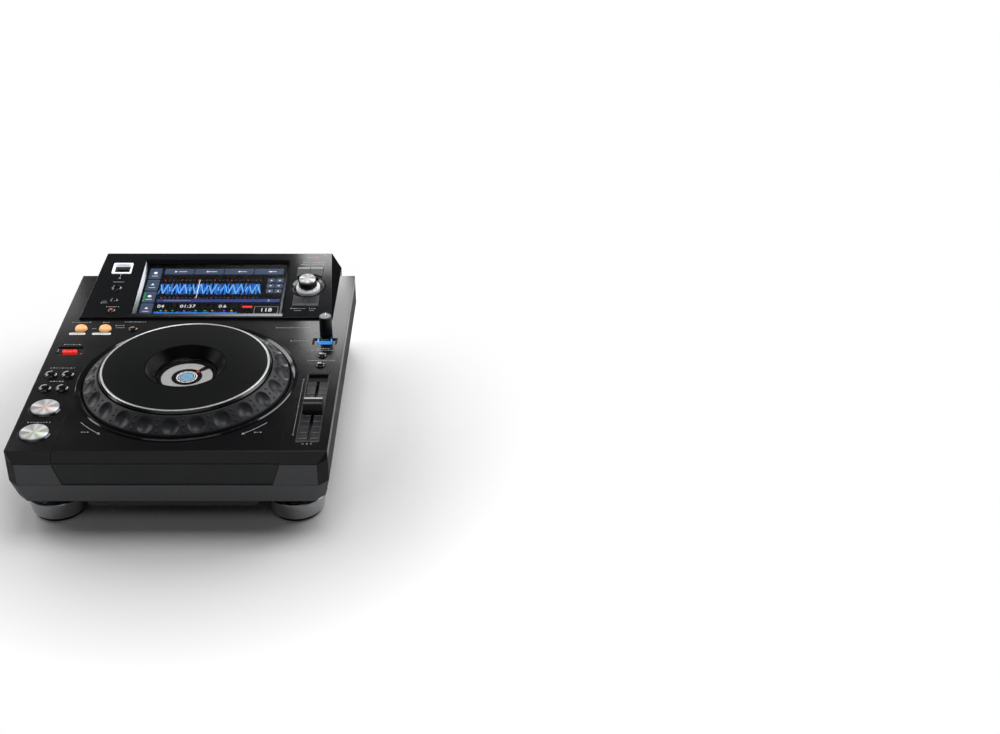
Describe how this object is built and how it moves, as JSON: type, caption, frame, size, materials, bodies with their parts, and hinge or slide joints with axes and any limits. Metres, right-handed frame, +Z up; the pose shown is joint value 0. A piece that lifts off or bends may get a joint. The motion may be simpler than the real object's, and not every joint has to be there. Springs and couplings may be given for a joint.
{
  "type": "dj media player",
  "caption": "Tabletop media player for mixing music, with a large turning jog wheel, tilted touch screen, tempo fader and lit buttons.",
  "frame": {"origin": "middle of the box round the player, on the table", "axes": "+X to the right, +Y to the back, +Z up"},
  "size_m": [0.306, 0.384, 0.1088],
  "materials": {
    "cover_black": "satin moulded black",
    "case_black": "fine-grained moulded black",
    "corner_grey": "smooth satin charcoal",
    "sheet_black": "powder-coated sheet",
    "frame_dark": "polished dark bezel",
    "screen_glass": "clear touch glass",
    "lcd": "lit colour display",
    "light_white": "lit milky plastic",
    "socket_steel": "plated sheet",
    "ring_black": "glossy black",
    "post_grey": "cast",
    "bearing_brass": "plain bush",
    "dial": "round lit display",
    "foot_grey": "metal-look ring",
    "rubber": "matt",
    "board_green": "printed circuit",
    "tray_black": "satin black",
    "rim_grey": "soft-touch charcoal",
    "hub_black": "black moulding",
    "plate_grey": "fine-grained dark disc",
    "trim_silver": "bright ring",
    "window_clear": "clear",
    "spun_metal": "spun face",
    "ring_chrome": "polished",
    "orange_lit": "lit orange",
    "black_gloss": "polished black",
    "red_lit": "lit red",
    "blue_lit": "lit blue",
    "key_grey": "satin",
    "inlet_black": "moulded black"
  },
  "bodies": {
    "player": {"top_cover": "cover_black", "screen_housing": "cover_black", "lower_case": "case_black", "corner_panels": "corner_grey", "bottom_pan": "sheet_black", "rear_plate": "sheet_black", "screen_frame": "frame_dark", "touch_glass": "screen_glass", "lcd_module": "lcd", "usb_light_frame": "light_white", "selector_skirt": "light_white", "usb_socket": "socket_steel", "lan_socket": "socket_steel", "usb_b_socket": "socket_steel", "slider_pot": "socket_steel", "case_screws": "socket_steel", "jog_well_ring": "ring_black", "selector_well": "ring_black", "jog_post": "post_grey", "jog_bearing": "bearing_brass", "jog_display": "dial", "foot_rings": "foot_grey", "foot_pads": "rubber", "circuit_boards": "board_green", "slider_tray": "tray_black", "button_rings": "ring_chrome", "phono_jacks": "ring_chrome", "power_inlet": "inlet_black"},
    "jog_wheel": {"jog_rim": "rim_grey", "jog_hub": "hub_black", "encoder_ring": "hub_black"},
    "jog_top": {"jog_plate": "plate_grey", "jog_trim_ring": "trim_silver", "jog_dish": "ring_black", "jog_window": "window_clear"},
    "cue_button": {"cue_button": "spun_metal"},
    "play_button": {"play_button": "spun_metal"},
    "loop_in_button": {"loop_in_button": "orange_lit"},
    "loop_out_button": {"loop_out_button": "orange_lit"},
    "reloop_button": {"reloop_button": "black_gloss"},
    "track_back_button": {"track_back_button": "black_gloss"},
    "track_next_button": {"track_next_button": "black_gloss"},
    "search_back_button": {"search_back_button": "black_gloss"},
    "search_next_button": {"search_next_button": "black_gloss"},
    "jog_mode_button": {"jog_mode_button": "blue_lit"},
    "tempo_range_button": {"tempo_range_button": "black_gloss"},
    "master_tempo_button": {"master_tempo_button": "black_gloss"},
    "usb_stop_button": {"usb_stop_button": "black_gloss"},
    "time_mode_button": {"time_mode_button": "black_gloss"},
    "quantize_button": {"quantize_button": "black_gloss"},
    "back_key": {"back_key": "key_grey"},
    "tag_key": {"tag_key": "key_grey"},
    "info_key": {"info_key": "key_grey"},
    "menu_key": {"menu_key": "key_grey"},
    "power_button": {"power_button": "inlet_black"},
    "direction_lever": {"direction_lever": "red_lit"},
    "speed_knob": {"speed_knob": "tray_black"},
    "tempo_fader": {"tempo_fader": "tray_black"},
    "selector_shaft": {"selector_shaft": "socket_steel"},
    "selector_knob": {"selector_knob": "spun_metal"}
  },
  "joints": [
    {"name": "jog_turn", "type": "hinge", "parent": "player", "child": "jog_wheel", "pos_m": [0, -0.056, 0.086], "axis": [0, 0, 1], "continuous": true},
    {"name": "jog_touch", "type": "slide", "parent": "jog_wheel", "child": "jog_top", "axis": [0, 0, -1], "range_m": [0, 0.0006], "stiffness_N_per_m": 6000, "springref_m": -0.0006},
    {"name": "cue_press", "type": "slide", "parent": "player", "child": "cue_button", "axis": [0, 0, -1], "range_m": [0, 0.0008], "stiffness_N_per_m": 1800, "springref_m": -0.0008},
    {"name": "play_press", "type": "slide", "parent": "player", "child": "play_button", "axis": [0, 0, -1], "range_m": [0, 0.0008], "stiffness_N_per_m": 1800, "springref_m": -0.0008},
    {"name": "loop_in_press", "type": "slide", "parent": "player", "child": "loop_in_button", "axis": [0, 0, -1], "range_m": [0, 0.0008], "stiffness_N_per_m": 900, "springref_m": -0.0006},
    {"name": "loop_out_press", "type": "slide", "parent": "player", "child": "loop_out_button", "axis": [0, 0, -1], "range_m": [0, 0.0008], "stiffness_N_per_m": 900, "springref_m": -0.0006},
    {"name": "reloop_press", "type": "slide", "parent": "player", "child": "reloop_button", "axis": [0, 0, -1], "range_m": [0, 0.0008], "stiffness_N_per_m": 900, "springref_m": -0.0006},
    {"name": "track_back_press", "type": "slide", "parent": "player", "child": "track_back_button", "axis": [0, 0, -1], "range_m": [0, 0.0008], "stiffness_N_per_m": 900, "springref_m": -0.0006},
    {"name": "track_next_press", "type": "slide", "parent": "player", "child": "track_next_button", "axis": [0, 0, -1], "range_m": [0, 0.0008], "stiffness_N_per_m": 900, "springref_m": -0.0006},
    {"name": "search_back_press", "type": "slide", "parent": "player", "child": "search_back_button", "axis": [0, 0, -1], "range_m": [0, 0.0008], "stiffness_N_per_m": 900, "springref_m": -0.0006},
    {"name": "search_next_press", "type": "slide", "parent": "player", "child": "search_next_button", "axis": [0, 0, -1], "range_m": [0, 0.0008], "stiffness_N_per_m": 900, "springref_m": -0.0006},
    {"name": "jog_mode_press", "type": "slide", "parent": "player", "child": "jog_mode_button", "axis": [0, 0, -1], "range_m": [0, 0.0008], "stiffness_N_per_m": 900, "springref_m": -0.0006},
    {"name": "tempo_range_press", "type": "slide", "parent": "player", "child": "tempo_range_button", "axis": [0, 0, -1], "range_m": [0, 0.0008], "stiffness_N_per_m": 900, "springref_m": -0.0006},
    {"name": "master_tempo_press", "type": "slide", "parent": "player", "child": "master_tempo_button", "axis": [0, 0, -1], "range_m": [0, 0.0008], "stiffness_N_per_m": 900, "springref_m": -0.0006},
    {"name": "usb_stop_press", "type": "slide", "parent": "player", "child": "usb_stop_button", "axis": [0, 0.1433, -0.9897], "range_m": [0, 0.0008], "stiffness_N_per_m": 900, "springref_m": -0.0006},
    {"name": "time_mode_press", "type": "slide", "parent": "player", "child": "time_mode_button", "axis": [0, 0.1433, -0.9897], "range_m": [0, 0.0008], "stiffness_N_per_m": 900, "springref_m": -0.0006},
    {"name": "quantize_press", "type": "slide", "parent": "player", "child": "quantize_button", "axis": [0, 0.1433, -0.9897], "range_m": [0, 0.0008], "stiffness_N_per_m": 900, "springref_m": -0.0006},
    {"name": "back_press", "type": "slide", "parent": "player", "child": "back_key", "axis": [0, 0.1433, -0.9897], "range_m": [0, 0.0008], "stiffness_N_per_m": 900, "springref_m": -0.0006},
    {"name": "tag_press", "type": "slide", "parent": "player", "child": "tag_key", "axis": [0, 0.1433, -0.9897], "range_m": [0, 0.0008], "stiffness_N_per_m": 900, "springref_m": -0.0006},
    {"name": "info_press", "type": "slide", "parent": "player", "child": "info_key", "axis": [0, 0.1433, -0.9897], "range_m": [0, 0.0008], "stiffness_N_per_m": 900, "springref_m": -0.0006},
    {"name": "menu_press", "type": "slide", "parent": "player", "child": "menu_key", "axis": [0, 0.1433, -0.9897], "range_m": [0, 0.0008], "stiffness_N_per_m": 900, "springref_m": -0.0006},
    {"name": "power_press", "type": "slide", "parent": "player", "child": "power_button", "axis": [0, -1, 0], "range_m": [0, 0.0015], "stiffness_N_per_m": 900, "springref_m": -0.0006},
    {"name": "direction_flip", "type": "hinge", "parent": "player", "child": "direction_lever", "pos_m": [-0.1312, 0.0008, 0.076], "axis": [-1, 0, 0], "range_deg": [0, 18]},
    {"name": "speed_turn", "type": "hinge", "parent": "player", "child": "speed_knob", "pos_m": [0.1324, 0.036, 0.086], "axis": [0, 0, -1], "range_deg": [-150, 150]},
    {"name": "tempo_slide", "type": "slide", "parent": "player", "child": "tempo_fader", "axis": [0, 1, 0], "range_m": [-0.05, 0.05]},
    {"name": "selector_press", "type": "slide", "parent": "player", "child": "selector_shaft", "axis": [0, 0.1433, -0.9897], "range_m": [0, 0.0008], "stiffness_N_per_m": 2000, "springref_m": -0.0006},
    {"name": "selector_turn", "type": "hinge", "parent": "selector_shaft", "child": "selector_knob", "pos_m": [0.1052, 0.12163, 0.09611], "axis": [0, -0.1433, 0.9897], "continuous": true}
  ]
}
